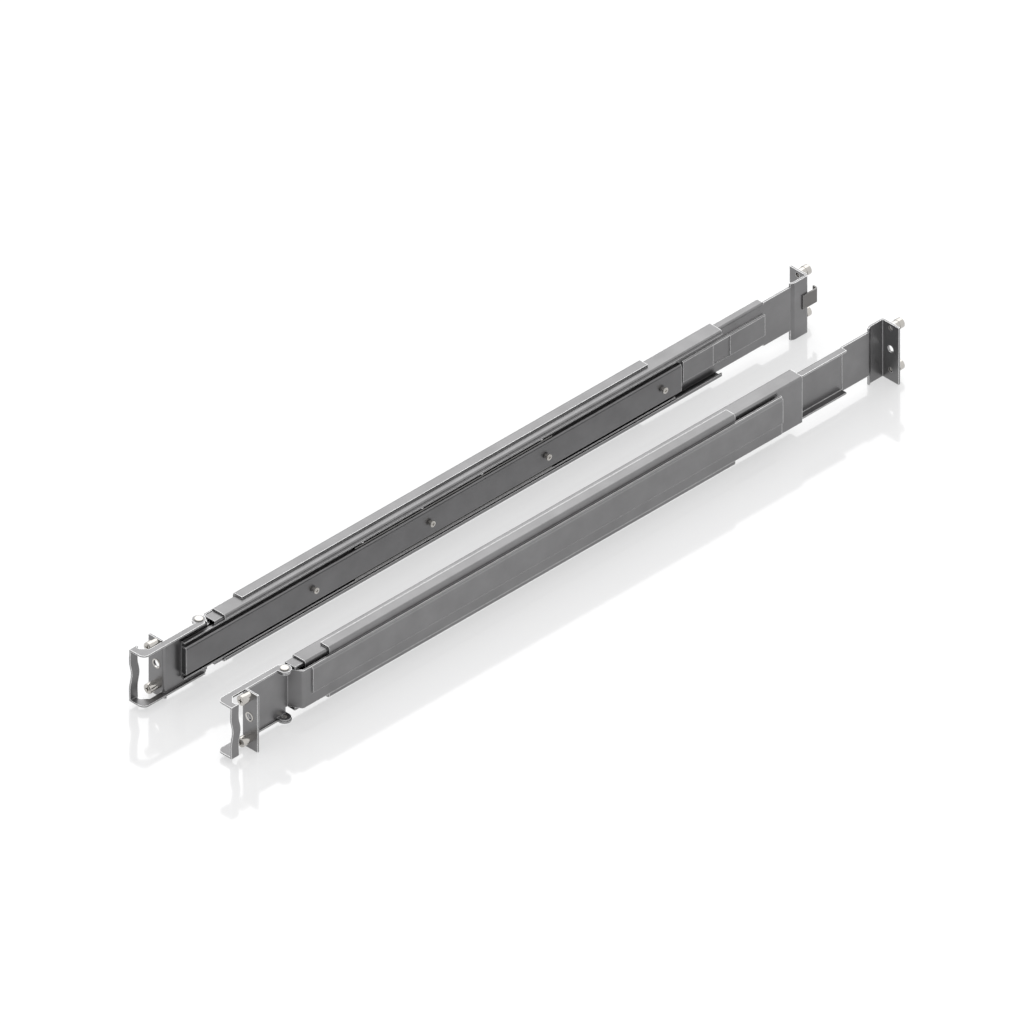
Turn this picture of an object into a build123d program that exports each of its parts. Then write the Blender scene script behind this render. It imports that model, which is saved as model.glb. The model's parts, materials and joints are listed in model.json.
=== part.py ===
from build123d import *
import math
import os

# A pair of sliding rails for a rack-mounted server, in millimetres. Each rail is drawn in
# its own axes: u runs from the outer face of the sleeve towards the server, y runs from the
# front ear to the rear ear, and z runs up from the middle of the sleeve. The left rail is
# drawn, and the right rail is its mirror image.

# Overall layout
rail_offset = 43.0            # from the middle of the pair to u = 0 of each rail
rack_depth = 571.0            # front face of the front ear to rear face of the rear ear
ear_drop = 24.2               # the ears' lower edge below the middle of the sleeve
ear_rise = 19.3               # the ears' upper edge above it
pin_spacing = 31.75           # rack hole pitch between the two locating pins

# Sheet thicknesses and running clearances
ear_sheet = 1.5
sleeve_sheet = 1.5
rail_sheet = 1.0
member_sheet = 1.0
bend = 0.6
running_gap = 0.25
ball_gap = 0.05
seat_gap = 0.02

# Sleeve, the outermost channel
sleeve_half = 19.5
sleeve_depth = 8.2
sleeve_front = 69.5
sleeve_rear = 430.0

# Cabinet rail, nested in the sleeve and carrying the outer ball race
cabinet_half = sleeve_half - sleeve_sheet
cabinet_depth = 13.2
cabinet_lip = 3.2
cabinet_front = 49.5
cabinet_rear = 491.0

# Front bracket: ear, panel behind it, and the long backing plate outside the sleeve
ear_outer_u = -5.4
panel_face_u = 8.85
panel_top = 17.1
panel_bottom = -19.6
panel_length = 40.0
jog_length = 5.0
plate_half = 14.4
plate_end = 470.0
rib_edge = 2.4
rib_top = plate_half - rib_edge
rib_bottom = -5.0
rib_rise = 1.0
rib_slope = 1.2
rib_bend = 0.3

# Middle and inner members
outer_ball = 2.8
inner_ball = 2.4
middle_web_u = panel_face_u + running_gap
middle_tip_u = 12.6
middle_half = cabinet_half - rail_sheet - outer_ball - 2 * ball_gap
inner_face_u = 14.3
inner_half = middle_half - rail_sheet - inner_ball - 2 * ball_gap
inner_back_u = middle_web_u + rail_sheet + 0.35
member_front = 14.0
middle_rear = 450.0
inner_rear = 454.0

# Ball cages
cage_front = 165.0
cage_rear = 340.0
cage_sheet = 0.8
balls_per_row = 4
ball_end_margin = 8.0
outer_ball_u = 10.35
outer_cage_back_u = 8.95
outer_cage_front_u = 12.1
inner_ball_u = 11.5
inner_cage_back_u = 10.2
inner_cage_front_u = 13.15

# Studs that carry the server
stud_first = 127.4
stud_pitch = 103.3
stud_count = 4
stud_radius = 1.4
stud_neck = 1.8
stud_head_radius = 2.2
stud_head = 1.0

# Rear bracket, telescoping in the cabinet rail
rear_half = cabinet_half - rail_sheet - 0.3
rear_web_face_u = middle_web_u - running_gap
rear_flange_u = 3.2
rear_length = 291.0
flange_setback = 39.0
plate_setback = 15.0
rear_front = rack_depth - rear_length
rear_flange_end = rack_depth - flange_setback
rear_plate_end = rack_depth - plate_setback
rear_sheet = 1.2
rear_jog = 1.3
pad_gap = 9.0
pad_start = middle_rear + pad_gap
pad_half = 8.4
pad_rise = 1.6
window_inset = 27.0
window_start = pad_start + window_inset
window_side = 15.0
window_depth = 0.6

# Locating pins, their cross recess and the threaded holes between them
pin_radius = 3.5
pin_length = 8.0
pin_u = 1.7
pin_chamfer = 0.7
recess_span = 3.6
recess_width = 0.9
recess_depth = 1.4
ear_hole_radius = 2.5

# Front latch
latch_sheet = 1.2
latch_front = -20.0
latch_strip = 5.0
latch_arm_u = 6.2
latch_arm_width = 4.4
latch_corner = 4.5
latch_bar_u = -2.5
latch_bar_width = 6.6
latch_bar_wave = 1.4
latch_gap = 0.2
pivot_u = 4.9
pivot_y = 34.4
pivot_radius = 1.7
pivot_clearance = 0.05
eyelet_radius = 4.6
pivot_head_radius = 2.9
pivot_head = 0.8
tab_half = 4.2
notch_clearance = 0.5

# Rear hook clip
clip_sheet = 0.9
clip_low = -4.0
clip_high = 6.5
clip_reach = 7.0
clip_hook = 3.6
clip_start = 6.0

# Small fittings
rivet_radius = 2.6
rivet_height = 0.7
rivet_places = (100.0, 190.0, 260.0, 400.0)
rivet_z = 9.0
bumper_length = 6.0
bumper_gap = 0.3

# Worked-out places
latch_top = panel_top + latch_gap
latch_bottom = panel_bottom - latch_gap
rear_ear_web_u = rear_web_face_u + rear_jog
rear_tip = rack_depth + pin_length
middle_y = (latch_front + rear_tip) / 2


def offset_path(points, distance):
    """Moves an open path sideways by a distance, with mitred corners."""
    normals = []
    for (x0, y0), (x1, y1) in zip(points, points[1:]):
        length = math.hypot(x1 - x0, y1 - y0)
        normals.append((-(y1 - y0) / length, (x1 - x0) / length))
    moved = [(points[0][0] + normals[0][0] * distance, points[0][1] + normals[0][1] * distance)]
    for point, before, after in zip(points[1:-1], normals, normals[1:]):
        scale = distance / (1 + before[0] * after[0] + before[1] * after[1])
        moved.append((point[0] + (before[0] + after[0]) * scale,
                      point[1] + (before[1] + after[1]) * scale))
    moved.append((points[-1][0] + normals[-1][0] * distance,
                  points[-1][1] + normals[-1][1] * distance))
    return moved


def bend_radii(points, left_side, inner, outer):
    """Gives each corner its inner or outer bend radius on one side of the sheet."""
    radii = []
    for (x0, y0), (x1, y1), (x2, y2) in zip(points, points[1:], points[2:]):
        turns_left = (x1 - x0) * (y2 - y1) - (y1 - y0) * (x2 - x1) > 0
        radii.append(inner if turns_left == left_side else outer)
    return radii


def sheet_section(points, thickness, inner=bend, outer=None):
    """Draws the section of a bent sheet around the path of its middle surface."""
    outer = inner + thickness if outer is None else outer
    left = offset_path(points, thickness / 2)
    right = offset_path(points, -thickness / 2)
    if len(points) == 2:
        return make_face(Polyline(*left, *reversed(right), close=True))
    left_edge = FilletPolyline(*left, radius=bend_radii(points, True, inner, outer))
    right_edge = FilletPolyline(*right, radius=bend_radii(points, False, inner, outer))
    return make_face([*left_edge.edges(), Line(left[-1], right[-1]),
                      *right_edge.edges(), Line(right[0], left[0])])


def along_rail(section, start, end):
    """Extrudes a section drawn in u and z along the rail."""
    plane = Plane(origin=(0, start, 0), x_dir=(1, 0, 0), z_dir=(0, -1, 0))
    return extrude(plane * section, amount=-(end - start))


def upwards(section, low, high):
    """Extrudes a plan drawn in u and y from one height to another."""
    return extrude(Pos(0, 0, low) * section, amount=high - low)


def block(u, y, z):
    """A plain block between pairs of limits."""
    size = [high - low for low, high in (u, y, z)]
    centre = [(high + low) / 2 for low, high in (u, y, z)]
    return Pos(*centre) * Box(*size)


def cylinder_u(radius, start, end, y, z):
    """A cylinder along u."""
    return Pos((start + end) / 2, y, z) * Rot(0, 90, 0) * Cylinder(radius, end - start)


def cylinder_y(radius, start, end, u, z):
    """A cylinder along y."""
    return Pos(u, (start + end) / 2, z) * Rot(90, 0, 0) * Cylinder(radius, end - start)


def channel_path(web_u, tip_u, half, sheet, lip=0.0):
    """Middle-surface path of a channel that is open on its tip side."""
    edge = half - sheet / 2
    step = sheet / 2 if tip_u > web_u else -sheet / 2
    web = web_u + step
    tip = tip_u - step if lip else tip_u
    path = [(tip, edge), (web, edge), (web, -edge), (tip, -edge)]
    if lip:
        path = [(tip, half - lip), *path, (tip, lip - half)]
    return path


def sleeve():
    path = channel_path(0, sleeve_depth, sleeve_half, sleeve_sheet)
    return along_rail(sheet_section(path, sleeve_sheet), sleeve_front, sleeve_rear)


def cabinet_rail():
    path = channel_path(sleeve_sheet, cabinet_depth, cabinet_half, rail_sheet, cabinet_lip)
    return along_rail(sheet_section(path, rail_sheet), cabinet_front, cabinet_rear)


def pin_holes(front, back):
    """Bores for the two pins and the threaded hole between them."""
    holes = [cylinder_y(ear_hole_radius, front, back, pin_u, 0)]
    for side in (-1, 1):
        holes.append(cylinder_y(pin_radius / 2 + seat_gap, front, back, pin_u,
                                side * pin_spacing / 2))
    return holes


def front_bracket():
    panel_u = panel_face_u - ear_sheet / 2
    plate_u = -ear_sheet / 2
    plan = [(ear_outer_u, ear_sheet / 2), (panel_u, ear_sheet / 2), (panel_u, panel_length),
            (plate_u, panel_length + jog_length), (plate_u, panel_length + 2.5 * jog_length)]
    body = upwards(sheet_section(plan, ear_sheet), -ear_drop, ear_rise)
    behind = (ear_sheet + bend, rack_depth)
    everywhere_u = (ear_outer_u - 1, panel_face_u + 1)
    body -= block(everywhere_u, behind, (panel_top, ear_rise + 1))
    body -= block(everywhere_u, behind, (-ear_drop - 1, panel_bottom))
    jog_start = panel_length - bend - ear_sheet
    body -= block(everywhere_u, (jog_start, rack_depth), (plate_half, ear_rise))
    body -= block(everywhere_u, (jog_start, rack_depth), (-ear_drop, -plate_half))
    notch_u = (latch_arm_u - notch_clearance, panel_face_u + 1)
    notch_y = (-1, ear_sheet + bend)
    top = latch_top + latch_sheet + notch_clearance
    bottom = latch_bottom - latch_sheet - notch_clearance
    body -= block(notch_u, notch_y, (panel_top, top))
    body -= block(notch_u, notch_y, (top, ear_rise + 1))
    body -= block(notch_u, notch_y, (bottom, panel_bottom))
    for hole in pin_holes(-1, ear_sheet + 1):
        body -= hole
    raised = plate_u - rib_rise
    rib = [(plate_u, plate_half), (plate_u, rib_top + rib_slope), (raised, rib_top),
           (raised, rib_bottom), (plate_u, rib_bottom - rib_slope), (plate_u, -plate_half)]
    plate_start = panel_length + 2.5 * jog_length
    section = sheet_section(rib, ear_sheet, rib_bend, 2 * rib_bend)
    body += along_rail(section, plate_start, plate_end)
    for low, high in ((panel_top - latch_sheet, panel_top),
                      (panel_bottom, panel_bottom + latch_sheet)):
        reach = block((pivot_u, panel_u), (pivot_y - tab_half, pivot_y + tab_half), (low, high))
        tab = reach + Pos(pivot_u, pivot_y, (low + high) / 2) * Cylinder(tab_half, high - low)
        bore = Pos(pivot_u, pivot_y, (low + high) / 2) * Cylinder(
            pivot_radius + seat_gap, 2 * latch_sheet)
        body += tab
        body -= bore
    return body


def locating_pins(face, direction):
    """Two headed pins with a cross recess, riveted into an ear."""
    pins = []
    for side in (-1, 1):
        z = side * pin_spacing / 2
        tip = face + direction * pin_length
        shank = cylinder_y(pin_radius, min(face, tip), max(face, tip), pin_u, z)
        tip_edge = shank.edges().filter_by(GeomType.CIRCLE).sort_by(Axis.Y)
        shank = chamfer(tip_edge[0] if direction < 0 else tip_edge[-1], pin_chamfer)
        floor = tip - direction * recess_depth
        depth = (min(floor, tip + direction), max(floor, tip + direction))
        half_span = recess_span / 2
        half_width = recess_width / 2
        shank -= block((pin_u - half_span, pin_u + half_span), depth,
                       (z - half_width, z + half_width))
        shank -= block((pin_u - half_width, pin_u + half_width), depth,
                       (z - half_span, z + half_span))
        tail_end = face - direction * ear_sheet
        shank += cylinder_y(pin_radius / 2, min(face, tail_end), max(face, tail_end), pin_u, z)
        pins.append(shank)
    return Compound(children=pins)


def latch_arm_plan():
    """Plan of one latch arm: a strip across the front, a strip back to the eyelet."""
    inner_u = latch_arm_u
    outer_u = latch_arm_u + latch_arm_width
    strip_back = latch_front + latch_strip
    gusset = latch_corner
    outline = Polyline(
        (latch_bar_u, latch_front), (outer_u, latch_front), (outer_u, pivot_y),
        (inner_u, pivot_y), (inner_u, strip_back + gusset), (inner_u - gusset, strip_back),
        (latch_bar_u, strip_back), close=True)
    plan = make_face(outline)
    corner = plan.vertices().sort_by_distance((outer_u, latch_front))[0]
    plan = fillet(corner, latch_corner)
    plan += Pos(pivot_u, pivot_y) * Circle(eyelet_radius)
    plan -= Pos(pivot_u, pivot_y) * Circle(pivot_radius + pivot_clearance)
    return plan


def latch():
    plan = latch_arm_plan()
    top = latch_top + latch_sheet
    bottom = latch_bottom - latch_sheet
    body = upwards(plan, latch_top, top) + upwards(plan, bottom, latch_bottom)
    back = latch_front + latch_bar_width
    wave = latch_bar_wave
    crest = (top + bottom) / 2
    swing = pin_spacing / 4
    front_edge = Spline((latch_front, bottom), (latch_front, crest - swing),
                        (latch_front + wave, crest), (latch_front, crest + swing),
                        (latch_front, top), tangents=((0, 1), (0, 1)))
    back_edge = Spline((back, top), (back, crest + swing), (back + wave, crest),
                       (back, crest - swing), (back, bottom), tangents=((0, -1), (0, -1)))
    side = make_face([front_edge, Line((latch_front, top), (back, top)), back_edge,
                      Line((back, bottom), (latch_front, bottom))])
    plane = Plane(origin=(latch_bar_u, 0, 0), x_dir=(0, 1, 0), z_dir=(1, 0, 0))
    body += extrude(plane * side, amount=latch_sheet)
    return body


def pivot_pins():
    """A headed rivet through each eyelet and the bracket tab beside it."""
    pins = []
    for inner, outer, way in ((panel_top - latch_sheet, latch_top + latch_sheet, 1),
                              (panel_bottom + latch_sheet, latch_bottom - latch_sheet, -1)):
        head_base = outer + way * pivot_clearance
        shank_middle = (inner + head_base) / 2
        pin = Pos(pivot_u, pivot_y, shank_middle) * Cylinder(pivot_radius, abs(head_base - inner))
        head = Pos(pivot_u, pivot_y, head_base + way * pivot_head / 2) * Cylinder(
            pivot_head_radius, pivot_head)
        rim = head.edges().filter_by(GeomType.CIRCLE).sort_by(Axis.Z)
        head = fillet(rim[-1] if way > 0 else rim[0], pivot_head / 2)
        pins.append(pin + head)
    return Compound(children=pins)


def middle_member():
    path = channel_path(middle_web_u, middle_tip_u, middle_half, rail_sheet)
    return along_rail(sheet_section(path, rail_sheet), member_front, middle_rear)


def inner_member():
    path = channel_path(inner_face_u, inner_back_u, inner_half, member_sheet)
    return along_rail(sheet_section(path, member_sheet), member_front, inner_rear)


def server_studs():
    studs = []
    for index in range(stud_count):
        y = stud_first + index * stud_pitch
        neck_end = inner_face_u + stud_neck
        stud = cylinder_u(stud_radius, inner_face_u, neck_end, y, 0)
        stud += cylinder_u(stud_head_radius, neck_end, neck_end + stud_head, y, 0)
        studs.append(stud)
    return Compound(children=studs)


def ball_places():
    first = cage_front + ball_end_margin
    pitch = (cage_rear - cage_front - 2 * ball_end_margin) / (balls_per_row - 1)
    return [first + index * pitch for index in range(balls_per_row)]


def balls(diameter, u, z):
    row = []
    for y in ball_places():
        for side in (-1, 1):
            row.append(Pos(u, y, side * z) * Sphere(diameter / 2))
    return Compound(children=row)


def ball_cage(diameter, u, z, width):
    """Two strips, one for each row, with a pocket for every ball."""
    strips = []
    for side in (-1, 1):
        strip = block(width, (cage_front, cage_rear),
                      (side * z - cage_sheet / 2, side * z + cage_sheet / 2))
        for y in ball_places():
            strip -= Pos(u, y, side * z) * Cylinder(diameter / 2 + ball_gap, 2 * cage_sheet)
        strips.append(strip)
    return Compound(children=strips)


def rear_bracket():
    edge = rear_half - rear_sheet / 2
    web = rear_web_face_u - rear_sheet / 2
    section = sheet_section([(rear_flange_u, edge), (web, edge), (web, -edge),
                             (rear_flange_u, -edge)], rear_sheet)
    body = along_rail(section, rear_front, rear_flange_end)
    ear_web = rear_ear_web_u - ear_sheet / 2
    plate_u = rear_web_face_u - ear_sheet / 2
    plan = [(plate_u, rear_flange_end), (plate_u, rear_plate_end),
            (ear_web, rear_plate_end + 2 * rear_jog),
            (ear_web, rack_depth - ear_sheet / 2), (ear_outer_u, rack_depth - ear_sheet / 2)]
    tail = upwards(sheet_section(plan, ear_sheet), -ear_drop, ear_rise)
    plate_y = (rear_flange_end - 1, rear_plate_end)
    everywhere_u = (ear_outer_u - 1, rear_ear_web_u + 1)
    tail -= block(everywhere_u, plate_y, (rear_half, ear_rise + 1))
    tail -= block(everywhere_u, plate_y, (-ear_drop - 1, -rear_half))
    body += tail
    for hole in pin_holes(rack_depth - 2 * ear_sheet, rack_depth + 1):
        body -= hole
    pad = block((rear_web_face_u, rear_web_face_u + pad_rise), (pad_start, rear_flange_end),
                (-pad_half, pad_half))
    pad = chamfer(pad.edges().filter_by(Axis.Y).group_by(Axis.X)[-1], pad_rise / 2)
    window_end = window_start + window_side
    pad_top = rear_web_face_u + pad_rise
    pad -= block((pad_top - window_depth, pad_top + 1), (window_start, window_end),
                 (-window_side / 2, window_side / 2))
    return body + pad


def rear_clip():
    """A bent strip on the rear ear that hooks round the rear rack post."""
    start = rack_depth - clip_start
    end = rack_depth + clip_reach
    middle = rear_ear_web_u + clip_sheet / 2
    plan = [(middle, start), (middle, end), (middle - clip_hook, end)]
    return upwards(sheet_section(plan, clip_sheet), clip_low, clip_high)


def rivets():
    """Rivet heads on the inner side of the cabinet rail."""
    heads = []
    base = sleeve_sheet + rail_sheet
    for y in rivet_places:
        for side in (-1, 1):
            heads.append(cylinder_u(rivet_radius, base, base + rivet_height, y, side * rivet_z))
    return Compound(children=heads)


def bumper():
    """The plastic stop inside the front end of the middle member."""
    half = inner_half - member_sheet - bumper_gap
    back = middle_web_u + rail_sheet
    front = inner_face_u - member_sheet - bumper_gap
    return block((back, front), (member_front + bumper_gap, member_front + bumper_length),
                 (-half, half))


def place_left(piece):
    return Pos(-rail_offset, -middle_y, ear_drop) * piece


def place_right(piece):
    return Pos(rail_offset, -middle_y, ear_drop) * mirror(piece, about=Plane.YZ)


outer_ball_z = cabinet_half - rail_sheet - ball_gap - outer_ball / 2
inner_ball_z = middle_half - rail_sheet - ball_gap - inner_ball / 2

rail_pieces = {
    "sleeve": sleeve(),
    "cabinet_rail": cabinet_rail(),
    "front_bracket": front_bracket(),
    "front_pins": locating_pins(0, -1),
    "pivot_pins": pivot_pins(),
    "rivets": rivets(),
    "latch": latch(),
    "rear_bracket": rear_bracket(),
    "rear_pins": locating_pins(rack_depth, 1),
    "rear_clip": rear_clip(),
    "middle_member": middle_member(),
    "bumper": bumper(),
    "inner_member": inner_member(),
    "server_studs": server_studs(),
    "outer_balls": balls(outer_ball, outer_ball_u, outer_ball_z),
    "outer_cage": ball_cage(outer_ball, outer_ball_u, outer_ball_z,
                            (outer_cage_back_u, outer_cage_front_u)),
    "inner_balls": balls(inner_ball, inner_ball_u, inner_ball_z),
    "inner_cage": ball_cage(inner_ball, inner_ball_u, inner_ball_z,
                            (inner_cage_back_u, inner_cage_front_u)),
}

os.makedirs("parts", exist_ok=True)
for name, piece in rail_pieces.items():
    export_step(place_left(piece), f"parts/left_{name}.step")
    export_step(place_right(piece), f"parts/right_{name}.step")
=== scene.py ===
# %% [markdown]
# # A pair of sliding server rails
# Two mirrored rails of folded, zinc-plated sheet steel lie side by side. Each has ears
# that pin into a rack post, a swinging latch at the front and a ball-bearing slide inside.
# The folded sheet comes from the CAD model and stays as it is. This lesson gives it its
# finish, turns the small bright pins and studs, adds thread collars and short lead-in
# strips, and sets up the floor, light and camera.

# %% Load the frame
import json
import math
import bpy
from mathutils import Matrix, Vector


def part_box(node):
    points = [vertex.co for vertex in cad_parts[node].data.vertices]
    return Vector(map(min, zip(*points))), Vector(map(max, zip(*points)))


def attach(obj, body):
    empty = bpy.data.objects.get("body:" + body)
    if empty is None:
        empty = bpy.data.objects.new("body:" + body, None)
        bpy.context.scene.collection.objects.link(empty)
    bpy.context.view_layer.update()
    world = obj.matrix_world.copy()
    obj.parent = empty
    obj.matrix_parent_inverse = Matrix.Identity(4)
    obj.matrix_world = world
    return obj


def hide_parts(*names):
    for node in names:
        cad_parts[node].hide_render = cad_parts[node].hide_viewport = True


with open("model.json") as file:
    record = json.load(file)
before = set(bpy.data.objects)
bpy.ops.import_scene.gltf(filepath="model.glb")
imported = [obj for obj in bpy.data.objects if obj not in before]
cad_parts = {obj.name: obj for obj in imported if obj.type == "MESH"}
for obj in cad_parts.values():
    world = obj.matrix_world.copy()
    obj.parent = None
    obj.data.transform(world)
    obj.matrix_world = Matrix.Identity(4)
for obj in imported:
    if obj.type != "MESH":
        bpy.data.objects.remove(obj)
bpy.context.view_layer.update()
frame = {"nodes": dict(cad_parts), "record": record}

nodes = frame["nodes"]
print("pieces from the CAD model:", len(nodes))

# %% [markdown]
# ## The camera
# The picture is a parallel view: lines along the rails never meet. An orthographic camera
# gives that. It looks down at 35 degrees from the front right corner, and its scale
# is the width of the view in metres, so it can be worked out from two known points.

# %% Place the camera
MM = 0.001
view_width = 643.2 * MM
aim_right, aim_up = -3.5 * MM, 18.3 * MM
camera_distance = 2
turn, rise = math.radians(45), math.radians(35)
toward_camera = Vector((math.sin(turn) * math.cos(rise),
                        -math.cos(turn) * math.cos(rise),
                        math.sin(rise)))
picture_right = Vector((math.cos(turn), math.sin(turn), 0))
picture_up = toward_camera.cross(picture_right)
aim = picture_right * aim_right + picture_up * aim_up
bpy.ops.object.select_all(action="DESELECT")
bpy.ops.object.camera_add(location=aim + toward_camera * camera_distance,
                          rotation=toward_camera.to_track_quat("Z", "Y").to_euler())
camera = bpy.context.object
camera.name = "studio_camera"
camera.data.type = "ORTHO"
camera.data.ortho_scale = view_width
bpy.context.scene.camera = camera
print("view width in mm:", round(camera.data.ortho_scale / MM, 1))

# %% [markdown]
# ## Shared effects for the metal
# Rolled sheet shows a fine grain along its length, and plating leaves a soft mottling.
# Both are patterns of noise, and a third pattern of small cells serves moulded plastic.
# They are built once as a node group, which each material uses with its own values. The
# group gives only values, and the shader stays outside. A Mix node for colours keeps its
# sockets under numbers, so the numbers get names first.

# %% Helpers for node trees
GRID = 200
MIX_FACTOR, MIX_A, MIX_B = 0, 6, 7
MIXED = 2


def add_node(tree, kind, column, row, **settings):
    made = tree.nodes.new(kind)
    made.location = (column * GRID, -row * GRID)
    for key, value in settings.items():
        setattr(made, key, value)
    return made


def new_effect(name, inputs, outputs):
    effect = bpy.data.node_groups.new(name, "ShaderNodeTree")
    for title, value in inputs:
        socket = effect.interface.new_socket(title, in_out="INPUT",
                                             socket_type="NodeSocketFloat")
        socket.default_value = value
    for title in outputs:
        effect.interface.new_socket(title, in_out="OUTPUT",
                                    socket_type="NodeSocketFloat")
    return effect, add_node(effect, "NodeGroupInput", 0, 0), add_node(
        effect, "NodeGroupOutput", 6, 0)


# %% Rolled grain and plating mottle
stretch_along_rail = 0.03
grain, grain_in, grain_out = new_effect(
    "rolled_grain", [("Fineness", 900.0), ("Mottle Size", 60.0)],
    ["Grain", "Mottle", "Speck"])
place = add_node(grain, "ShaderNodeTexCoord", 0, 2)
stretch = add_node(grain, "ShaderNodeMapping", 1, 2)
stretch.inputs["Scale"].default_value = (1.0, stretch_along_rail, 1.0)
lines = add_node(grain, "ShaderNodeTexNoise", 2, 1)
lines.inputs["Detail"].default_value = 3.0
clouds = add_node(grain, "ShaderNodeTexNoise", 2, 2)
clouds.inputs["Detail"].default_value = 4.0
specks = add_node(grain, "ShaderNodeTexVoronoi", 2, 3)
for texture in (lines, specks):
    grain.links.new(grain_in.outputs["Fineness"], texture.inputs["Scale"])
grain.links.new(grain_in.outputs["Mottle Size"], clouds.inputs["Scale"])
grain.links.new(place.outputs["Object"], stretch.inputs["Vector"])
grain.links.new(stretch.outputs["Vector"], lines.inputs["Vector"])
grain.links.new(place.outputs["Object"], clouds.inputs["Vector"])
grain.links.new(place.outputs["Object"], specks.inputs["Vector"])
grain.links.new(lines.outputs["Fac"], grain_out.inputs["Grain"])
grain.links.new(clouds.outputs["Fac"], grain_out.inputs["Mottle"])
grain.links.new(specks.outputs["Distance"], grain_out.inputs["Speck"])
print("effect:", grain.name, [s.name for s in grain.interface.items_tree])

# %% [markdown]
# The bends and cut edges of the sheet show as bright lines, and here that highlight is
# painted into the colour. A Bevel node softens the normal near an edge, so where the
# softened normal and the real one differ there is an edge. That difference is the mask for
# the painted highlight.

# %% Painted edge highlights
edges, edges_in, edges_out = new_effect(
    "painted_edge_highlight", [("Width", 0.0005), ("Strength", 9.0)], ["Edge"])
softened = add_node(edges, "ShaderNodeBevel", 1, 0, samples=6)
surface = add_node(edges, "ShaderNodeNewGeometry", 1, 2)
match = add_node(edges, "ShaderNodeVectorMath", 2, 1, operation="DOT_PRODUCT")
differ = add_node(edges, "ShaderNodeMath", 3, 1, operation="SUBTRACT")
differ.inputs[0].default_value = 1.0
boost = add_node(edges, "ShaderNodeMath", 4, 1, operation="MULTIPLY", use_clamp=True)
edges.links.new(edges_in.outputs["Width"], softened.inputs["Radius"])
edges.links.new(softened.outputs["Normal"], match.inputs[0])
edges.links.new(surface.outputs["Normal"], match.inputs[1])
edges.links.new(match.outputs["Value"], differ.inputs[1])
edges.links.new(differ.outputs["Value"], boost.inputs[0])
edges.links.new(edges_in.outputs["Strength"], boost.inputs[1])
edges.links.new(boost.outputs["Value"], edges_out.inputs["Edge"])
print("effect:", edges.name)

# %% [markdown]
# ## The metals
# Every metal here is the same recipe with other values: a dark and a light tone mixed by
# the mottle, a third, light tone painted on the edges as a highlight, roughness that
# follows the grain, and a very shallow bump. Zinc plating is satin. The sliding members sit
# in the shade of the channels, and that shade is painted in as a darker copy of the zinc.
# Spring steel is darker too, and the turned pins are polished nickel with a slightly warm
# tone.

# %% A metal from its tones
metal_share = 0.92
rough_swing = 0.07
grain_height = 0.00006


def metal(name, dark, light, edge_highlight_tone, rough, edge_width, fineness, bump):
    made = bpy.data.materials.new(name)
    made.use_nodes = True
    tree = made.node_tree
    tree.nodes.clear()
    out = add_node(tree, "ShaderNodeOutputMaterial", 7, 0)
    shader = add_node(tree, "ShaderNodeBsdfPrincipled", 6, 0)
    shader.inputs["Metallic"].default_value = metal_share
    pattern = add_node(tree, "ShaderNodeGroup", 0, 0, node_tree=grain)
    pattern.inputs["Fineness"].default_value = fineness
    rim = add_node(tree, "ShaderNodeGroup", 0, 2, node_tree=edges)
    rim.inputs["Width"].default_value = edge_width
    tone = add_node(tree, "ShaderNodeMix", 2, 0, data_type="RGBA")
    tone.inputs[MIX_A].default_value = (*dark, 1)
    tone.inputs[MIX_B].default_value = (*light, 1)
    # painted highlight: the light edge tone is laid into the base colour along bends and
    # edges
    lined = add_node(tree, "ShaderNodeMix", 3, 0, data_type="RGBA")
    lined.inputs[MIX_B].default_value = (*edge_highlight_tone, 1)
    satin = add_node(tree, "ShaderNodeMapRange", 2, 2)
    satin.inputs["To Min"].default_value = rough - rough_swing
    satin.inputs["To Max"].default_value = rough + rough_swing
    relief = add_node(tree, "ShaderNodeBump", 4, 2)
    relief.inputs["Strength"].default_value = bump
    relief.inputs["Distance"].default_value = grain_height
    tree.links.new(pattern.outputs["Mottle"], tone.inputs[MIX_FACTOR])
    tree.links.new(tone.outputs[MIXED], lined.inputs[MIX_A])
    tree.links.new(rim.outputs["Edge"], lined.inputs[MIX_FACTOR])
    tree.links.new(lined.outputs[MIXED], shader.inputs["Base Color"])
    tree.links.new(pattern.outputs["Grain"], satin.inputs["Value"])
    tree.links.new(satin.outputs["Result"], shader.inputs["Roughness"])
    tree.links.new(pattern.outputs["Grain"], relief.inputs["Height"])
    tree.links.new(relief.outputs["Normal"], shader.inputs["Normal"])
    tree.links.new(shader.outputs["BSDF"], out.inputs["Surface"])
    print("metal:", name, "roughness", rough)
    return made


# %% The five metals
zinc = metal("satin_zinc_sheet", (0.19, 0.188, 0.19), (0.272, 0.27, 0.273),
             edge_highlight_tone=(0.92, 0.92, 0.92), rough=0.33, edge_width=0.0007,
             fineness=900.0, bump=0.25)
# painted shade: a darker copy of the zinc for the sliding members, which sit in the shade
# of the channels
slide = metal("slide_sheet_painted_shade", (0.15, 0.149, 0.151), (0.215, 0.213, 0.216),
              edge_highlight_tone=(0.85, 0.85, 0.85), rough=0.31, edge_width=0.0006,
              fineness=1000.0, bump=0.2)
spring = metal("dark_spring_strip", (0.15, 0.145, 0.14), (0.22, 0.215, 0.21),
               edge_highlight_tone=(0.5, 0.5, 0.5), rough=0.32, edge_width=0.0003,
               fineness=1200.0, bump=0.2)
nickel = metal("polished_nickel", (0.5, 0.48, 0.45), (0.62, 0.6, 0.57),
               edge_highlight_tone=(0.85, 0.84, 0.82), rough=0.16, edge_width=0.0002,
               fineness=1500.0, bump=0.08)
hard_ball = metal("polished_ball_steel", (0.5, 0.5, 0.5), (0.6, 0.6, 0.6),
                  edge_highlight_tone=(0.7, 0.7, 0.7), rough=0.1, edge_width=0.0001,
                  fineness=2000.0, bump=0.03)

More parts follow.
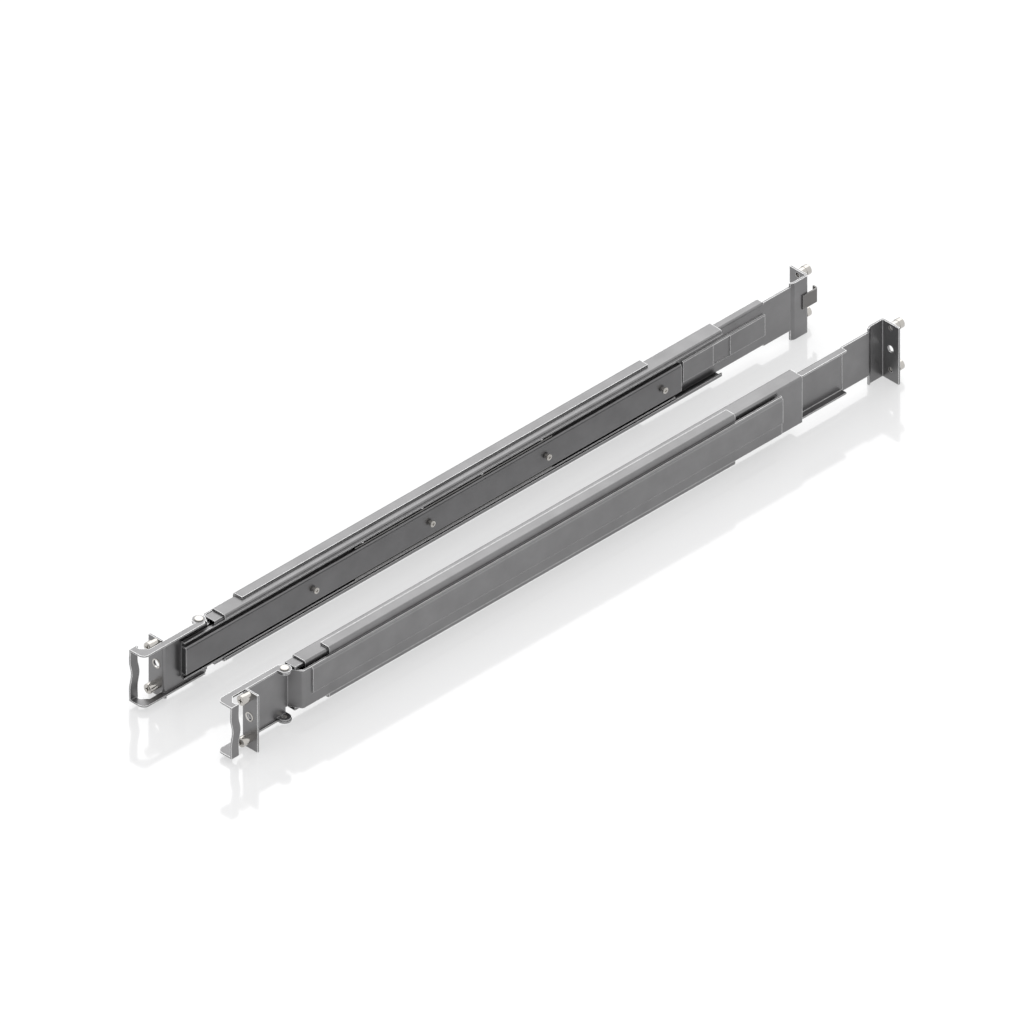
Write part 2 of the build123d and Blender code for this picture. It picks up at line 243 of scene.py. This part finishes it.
# %% [markdown]
# The end stops inside the slide are moulded in black plastic. Moulded plastic is matt
# with a fine pebbled skin, so its bump comes from small cells and not from lines.

# %% Moulded black plastic
plastic = bpy.data.materials.new("moulded_black_plastic")
plastic.use_nodes = True
tree = plastic.node_tree
shader = tree.nodes["Principled BSDF"]
pattern = add_node(tree, "ShaderNodeGroup", -4, 0, node_tree=grain)
pattern.inputs["Fineness"].default_value = 2500.0
tone = add_node(tree, "ShaderNodeMix", -2, 0, data_type="RGBA")
tone.inputs[MIX_A].default_value = (0.018, 0.018, 0.019, 1)
tone.inputs[MIX_B].default_value = (0.035, 0.035, 0.036, 1)
satin = add_node(tree, "ShaderNodeMapRange", -2, 1)
satin.inputs["To Min"].default_value = 0.45
satin.inputs["To Max"].default_value = 0.62
relief = add_node(tree, "ShaderNodeBump", -2, 2)
relief.inputs["Strength"].default_value = 0.3
relief.inputs["Distance"].default_value = 0.0001
tree.links.new(pattern.outputs["Mottle"], tone.inputs[MIX_FACTOR])
tree.links.new(tone.outputs[MIXED], shader.inputs["Base Color"])
tree.links.new(pattern.outputs["Grain"], satin.inputs["Value"])
tree.links.new(satin.outputs["Result"], shader.inputs["Roughness"])
tree.links.new(pattern.outputs["Speck"], relief.inputs["Height"])
tree.links.new(relief.outputs["Normal"], shader.inputs["Normal"])
print("plastic:", plastic.name)

# %% [markdown]
# ## Give each CAD piece its finish
# The record says which finish each piece has. Here each of its slots is filled with the
# material made above, and the sliding members get the darker copy of the zinc that paints
# their shade. Only the slot changes, and the piece and its mesh stay as they are.

# %% Fill the material slots
finish_of = {"zinc_steel": zinc, "spring_steel": spring, "bright_steel": nickel,
             "ball_steel": hard_ball, "black_plastic": plastic}
for part in frame["record"]["subparts"]:
    piece = nodes[part["node"]]
    finish = finish_of[part["material_slot"]]
    # painted shade: the sliding members take the darker copy of the zinc
    if part["node"].endswith("_member"):
        finish = slide
    if not piece.material_slots:
        piece.data.materials.append(finish)
    for slot in piece.material_slots:
        slot.material = finish

# %% [markdown]
# ## Turned pins for the rack posts
# Each ear carries two round pins that drop into the holes of the post. They are turned
# from bar, so the blank is a cylinder: a slightly slimmer neck at the ear and a full head
# with a rounded rim. A cross recess is cut into the end, as on a screw.

# %% Helpers for modelling by hand
ROUND = 48
SLIVER = 0.00005
FACES_UP = 0.99


def nothing_selected():
    if bpy.context.object and bpy.context.object.mode != "OBJECT":
        bpy.ops.object.mode_set(mode="OBJECT")
    bpy.ops.object.select_all(action="DESELECT")


def pick_end(piece, level):
    bpy.ops.object.mode_set(mode="EDIT")
    bpy.ops.mesh.select_mode(type="FACE")
    bpy.ops.mesh.select_all(action="DESELECT")
    bpy.ops.object.mode_set(mode="OBJECT")
    for face in piece.data.polygons:
        face.select = face.normal.z > FACES_UP and face.center.z > level - SLIVER
    bpy.ops.object.mode_set(mode="EDIT")


def apply_modifier(piece, modifier):
    nothing_selected()
    bpy.context.view_layer.objects.active = piece
    piece.select_set(True)
    bpy.ops.object.modifier_apply(modifier=modifier.name)


def cut_away(piece, tool):
    cut = piece.modifiers.new("recess", "BOOLEAN")
    cut.object = tool
    cut.solver = "EXACT"
    apply_modifier(piece, cut)
    bpy.data.objects.remove(tool)


# %% The cross-shaped cutter
def cross_cutter(span, width, depth, top):
    nothing_selected()
    bars = []
    for across, along in ((span, width), (width, span)):
        bpy.ops.mesh.primitive_cube_add(size=1, location=(0, 0, top))
        bar = bpy.context.object
        bar.scale = (across, along, 2 * depth)
        bpy.ops.object.transform_apply(location=False, rotation=False, scale=True)
        bars.append(bar)
    join = bars[0].modifiers.new("join", "BOOLEAN")
    join.operation = "UNION"
    join.object = bars[1]
    apply_modifier(bars[0], join)
    bpy.data.objects.remove(bars[1])
    return bars[0]


# %% Turn one blank
def turned_blank(name, steps, rim, recess):
    nothing_selected()
    radius, length = steps[0]
    bpy.ops.mesh.primitive_cylinder_add(vertices=ROUND, radius=radius, depth=length,
                                        location=(0, 0, length / 2))
    blank = bpy.context.object
    blank.name = name
    bpy.ops.object.transform_apply(location=True, rotation=True, scale=True)
    level = length
    for next_radius, next_length in steps[1:]:
        pick_end(blank, level)
        bpy.ops.mesh.extrude_region_move()
        share = next_radius / radius
        bpy.ops.transform.resize(value=(share, share, 1))
        bpy.ops.mesh.extrude_region_move(
            TRANSFORM_OT_translate={"value": (0, 0, next_length)})
        level += next_length
        radius = next_radius
    pick_end(blank, level)
    bpy.ops.mesh.bevel(offset=rim, segments=3, affect="EDGES")
    bpy.ops.object.mode_set(mode="OBJECT")
    cut_away(blank, cross_cutter(*recess, level))
    return blank


# %% [markdown]
# One blank is copied to every place, each copy with its own mesh. It stands along its own
# Z, so a copy is first turned to its direction. The copies of one side are joined and
# their place is applied, so the finished object sits at the origin like a CAD piece.

# %% Copy a blank to its places
SMOOTH_UNDER = math.radians(35)


def set_out(blank, name, places, turn_to, body, stands_for=None):
    made = []
    for place_at in places:
        one = blank.copy()
        one.data = blank.data.copy()
        bpy.context.collection.objects.link(one)
        one.location = place_at
        one.rotation_euler = turn_to
        made.append(one)
    nothing_selected()
    for one in made:
        one.select_set(True)
    bpy.context.view_layer.objects.active = made[0]
    bpy.ops.object.join()
    whole = bpy.context.object
    whole.name = name
    bpy.ops.object.transform_apply(location=True, rotation=True, scale=True)
    bpy.ops.object.shade_smooth_by_angle(angle=SMOOTH_UNDER)
    whole.data.materials.clear()
    whole.data.materials.append(nickel)
    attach(whole, body)
    if stands_for:
        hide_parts(stands_for)
    print(name, "copies:", len(places), "faces:", len(whole.data.polygons))


# %% [markdown]
# The four ears have the same holes: a threaded one in the middle and a pin above and below
# it, one rack hole pitch apart. The front ears face forwards and belong to the fixed
# rails, and the rear ears face backwards and move with the rear brackets.

# %% Places on the ears
hole_height = 24.2 * MM
pin_pitch = 31.75 * MM
pin_heights = (hole_height - pin_pitch / 2, hole_height + pin_pitch / 2)
hole_across = 41.3 * MM
front_face, rear_face = -279.5 * MM, 291.5 * MM
to_front, to_rear = (math.radians(90), 0, 0), (math.radians(-90), 0, 0)
ears = []
for side, across in (("left", -hole_across), ("right", hole_across)):
    ears.append((side + "_front", across, front_face, to_front, "fixed_rails"))
    ears.append((side + "_rear", across, rear_face, to_rear, side + "_rear"))
print("pin heights in mm:", [round(z / MM, 3) for z in pin_heights])

# %% Rack pins, front and rear
pin_neck, pin_head = (3.2 * MM, 4.2 * MM), (3.5 * MM, 3.8 * MM)
pin_rim = 0.45 * MM
pin_recess = (3.8 * MM, 0.9 * MM, 1.3 * MM)
pin_blank = turned_blank("pin_blank", [pin_neck, pin_head], pin_rim, pin_recess)
for ear, across, face_at, turn_to, body in ears:
    set_out(pin_blank, ear + "_rack_pins", [(across, face_at, z) for z in pin_heights],
            turn_to, body, ear + "_pins")
bpy.data.objects.remove(pin_blank)

# %% [markdown]
# ## Studs on the inner member
# The server hangs on four headed studs. Each is a short neck with a wider head above it,
# so the same way of turning is used, with the neck as the first step.

# %% Server studs
stud_count = 4
neck_share = 0.68
stud_rim = 0.35 * MM
stud_recess = (2.2 * MM, 0.6 * MM, 0.7 * MM)
for side, way in (("left", 1), ("right", -1)):
    low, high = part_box(side + "_server_studs")
    foot = low.x if way > 0 else high.x
    middle = (low.z + high.z) / 2
    half_reach = (high.x - low.x) / 2
    head = (high.z - low.z) / 2
    stud_blank = turned_blank("stud_blank",
                              [(head * neck_share, half_reach), (head, half_reach)],
                              stud_rim, stud_recess)
    start, end = low.y + head, high.y - head
    pitch = (end - start) / (stud_count - 1)
    set_out(stud_blank, side + "_hanging_studs",
            [(foot, start + pitch * n, middle) for n in range(stud_count)],
            (0, math.radians(90) * way, 0), side + "_inner", side + "_server_studs")
    bpy.data.objects.remove(stud_blank)

# %% [markdown]
# ## Collars round the threaded holes
# The hole between two pins is threaded, and its thread is formed in a short collar that
# stands proud of the ear by about a third of a millimetre. A collar is a flat disc with a
# rounded rim and a bore, so it starts as a cylinder, gets its rim and is then bored.

# %% Bore one collar
def bored_collar(name, outer, bore, height, rim):
    nothing_selected()
    bpy.ops.mesh.primitive_cylinder_add(vertices=ROUND, radius=outer, depth=height,
                                        location=(0, 0, height / 2))
    collar = bpy.context.object
    collar.name = name
    bpy.ops.object.transform_apply(location=True, rotation=True, scale=True)
    pick_end(collar, height)
    bpy.ops.mesh.bevel(offset=rim, segments=2, affect="EDGES")
    bpy.ops.object.mode_set(mode="OBJECT")
    bpy.ops.mesh.primitive_cylinder_add(vertices=ROUND, radius=bore, depth=4 * height)
    cut_away(collar, bpy.context.object)
    return collar


# %% Thread collars
collar_outer, collar_bore = 3.4 * MM, 2.5 * MM
collar_height, collar_rim = 0.35 * MM, 0.15 * MM
collar_blank = bored_collar("collar_blank", collar_outer, collar_bore,
                            collar_height, collar_rim)
for ear, across, face_at, turn_to, body in ears:
    set_out(collar_blank, ear + "_thread_collar", [(across, face_at, hole_height)],
            turn_to, body)
bpy.data.objects.remove(collar_blank)

# %% [markdown]
# ## Lead-in strips at the front of the race
# In front of each cabinet rail the upper and lower edges of the race step in once more.
# Each is a short folded strip. A flat sheet is drawn first, its two long edges are folded
# by extruding them, and Solidify and Bevel give it thickness and soft bends. The folds
# reach a tenth of a millimetre into the flanges of the sliding middle member, so a reader
# who builds on this makes them a little shorter.

# %% Fold one strip
SAME_PLACE = 1e-6
bend_width = 0.25 * MM


def folded_strip(name, across, along, level, fold, sheet):
    nothing_selected()
    bpy.ops.mesh.primitive_plane_add(size=1)
    strip = bpy.context.object
    strip.name = name
    strip.scale = (across[1] - across[0], along[1] - along[0], 1)
    strip.location = (sum(across) / 2, sum(along) / 2, level)
    bpy.ops.object.transform_apply(location=True, rotation=True, scale=True)
    for edge in strip.data.edges:
        ends = [strip.data.vertices[v].co for v in edge.vertices]
        edge.select = abs(ends[0].x - ends[1].x) < SAME_PLACE
    for face in strip.data.polygons:
        face.select = False
    bpy.ops.object.mode_set(mode="EDIT")
    bpy.ops.mesh.select_mode(type="EDGE")
    bpy.ops.mesh.extrude_region_move(TRANSFORM_OT_translate={"value": (0, 0, fold)})
    bpy.ops.mesh.select_all(action="SELECT")
    bpy.ops.mesh.normals_make_consistent(inside=False)
    bpy.ops.object.mode_set(mode="OBJECT")
    wall = strip.modifiers.new("wall", "SOLIDIFY")
    wall.thickness = sheet
    wall.offset = 0
    soft = strip.modifiers.new("soft", "BEVEL")
    soft.width = bend_width
    soft.segments = 3
    for modifier in (wall.name, soft.name):
        bpy.ops.object.modifier_apply(modifier=modifier)
    bpy.ops.object.shade_smooth_by_angle(angle=SMOOTH_UNDER)
    strip.data.materials.append(zinc)
    return strip


# %% Lead-in strips
rail_middle = 24.2 * MM
rail_offset = 43.0 * MM
race_half = 16.4 * MM
strip_fold, strip_sheet = 2.4 * MM, 0.8 * MM
strip_across = (3.2 * MM, 11.6 * MM)
strip_along = (front_face + 41.5 * MM, front_face + 53.0 * MM)
for side, way in (("left", 1), ("right", -1)):
    limits = sorted(way * (u - rail_offset) for u in strip_across)
    for edge, up in (("upper", 1), ("lower", -1)):
        strip = folded_strip(f"{side}_{edge}_lead_in", limits, strip_along,
                             rail_middle + up * race_half, -up * strip_fold,
                             strip_sheet)
        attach(strip, "fixed_rails")
        print(strip.name, "faces:", len(strip.data.polygons))

# %% [markdown]
# ## Floor
# The rails lie on a pale, slightly glossy table that mirrors them softly. The floor's own
# colour is nearly white. To the camera and in reflections part of it glows at a
# strength of one, so that the ground stays white while the shadow and mirror remain.

# %% Where the white background shows
def seen_plainly(tree):
    paths = add_node(tree, "ShaderNodeLightPath", -6, 3)
    both = add_node(tree, "ShaderNodeMath", -5, 3, operation="MAXIMUM")
    all_three = add_node(tree, "ShaderNodeMath", -4, 3, operation="MAXIMUM")
    tree.links.new(paths.outputs["Is Camera Ray"], both.inputs[0])
    tree.links.new(paths.outputs["Is Glossy Ray"], both.inputs[1])
    tree.links.new(both.outputs[0], all_three.inputs[0])
    tree.links.new(paths.outputs["Is Transmission Ray"], all_three.inputs[1])
    return all_three.outputs[0]


# %% Lay the floor
floor_size, floor_level = 12, -0.0003
glow_part = 0.55
nothing_selected()
bpy.ops.mesh.primitive_plane_add(size=floor_size, location=(0, 0, floor_level))
floor = bpy.context.object
floor.name = "studio_floor"
tabletop = bpy.data.materials.new("pale_tabletop")
tabletop.use_nodes = True
tree = tabletop.node_tree
top_shader = tree.nodes["Principled BSDF"]
top_shader.inputs["Base Color"].default_value = (0.92, 0.92, 0.92, 1)
top_shader.inputs["Roughness"].default_value = 0.08
top_shader.inputs["IOR"].default_value = 2.4
glow = add_node(tree, "ShaderNodeEmission", -1, 2)
glow.inputs["Strength"].default_value = 1.0
glow_share = add_node(tree, "ShaderNodeMath", -1, 3, operation="MULTIPLY")
glow_share.inputs[1].default_value = glow_part
blend = add_node(tree, "ShaderNodeMixShader", 1, 1)
tree.links.new(seen_plainly(tree), glow_share.inputs[0])
tree.links.new(glow_share.outputs[0], blend.inputs[0])
tree.links.new(top_shader.outputs["BSDF"], blend.inputs[1])
tree.links.new(glow.outputs["Emission"], blend.inputs[2])
tree.links.new(blend.outputs["Shader"], tree.nodes["Material Output"].inputs["Surface"])
floor.data.materials.append(tabletop)
print("floor size in m:", tuple(round(v, 1) for v in floor.dimensions))

# %% [markdown]
# ## Light
# The rails are lit by a pale grey surround, which the camera and reflections see as white,
# and by one very broad lamp high at the back left. The lamp mirrors in the upward faces,
# which makes them the brightest, while the upright faces mirror the pale floor in the
# dark tone of the metal.

# %% Surround and lamp
surround_as_light = (0.8, 0.8, 0.81, 1)
surround_as_seen = (1.0, 1.0, 1.0, 1)
toward_lamp = Vector((-0.45, 0.5, 0.75))
world = bpy.data.worlds.new("studio_surround")
bpy.context.scene.world = world
world.use_nodes = True
surround = world.node_tree
backdrop = surround.nodes["Background"]
backdrop.inputs["Strength"].default_value = 1.0
shade = add_node(surround, "ShaderNodeMix", -1, 1, data_type="RGBA")
shade.inputs[MIX_A].default_value = surround_as_light
shade.inputs[MIX_B].default_value = surround_as_seen
surround.links.new(seen_plainly(surround), shade.inputs[MIX_FACTOR])
surround.links.new(shade.outputs[MIXED], backdrop.inputs["Color"])
nothing_selected()
bpy.ops.object.light_add(type="SUN", location=(-1, 1, 2))
lamp = bpy.context.object
lamp.name = "broad_back_lamp"
lamp.data.energy = 0.85
lamp.data.angle = math.radians(60)
lamp.rotation_euler = toward_lamp.to_track_quat("Z", "Y").to_euler()
bpy.context.scene.view_settings.view_transform = "Standard"
print("lamp energy:", round(lamp.data.energy, 2))
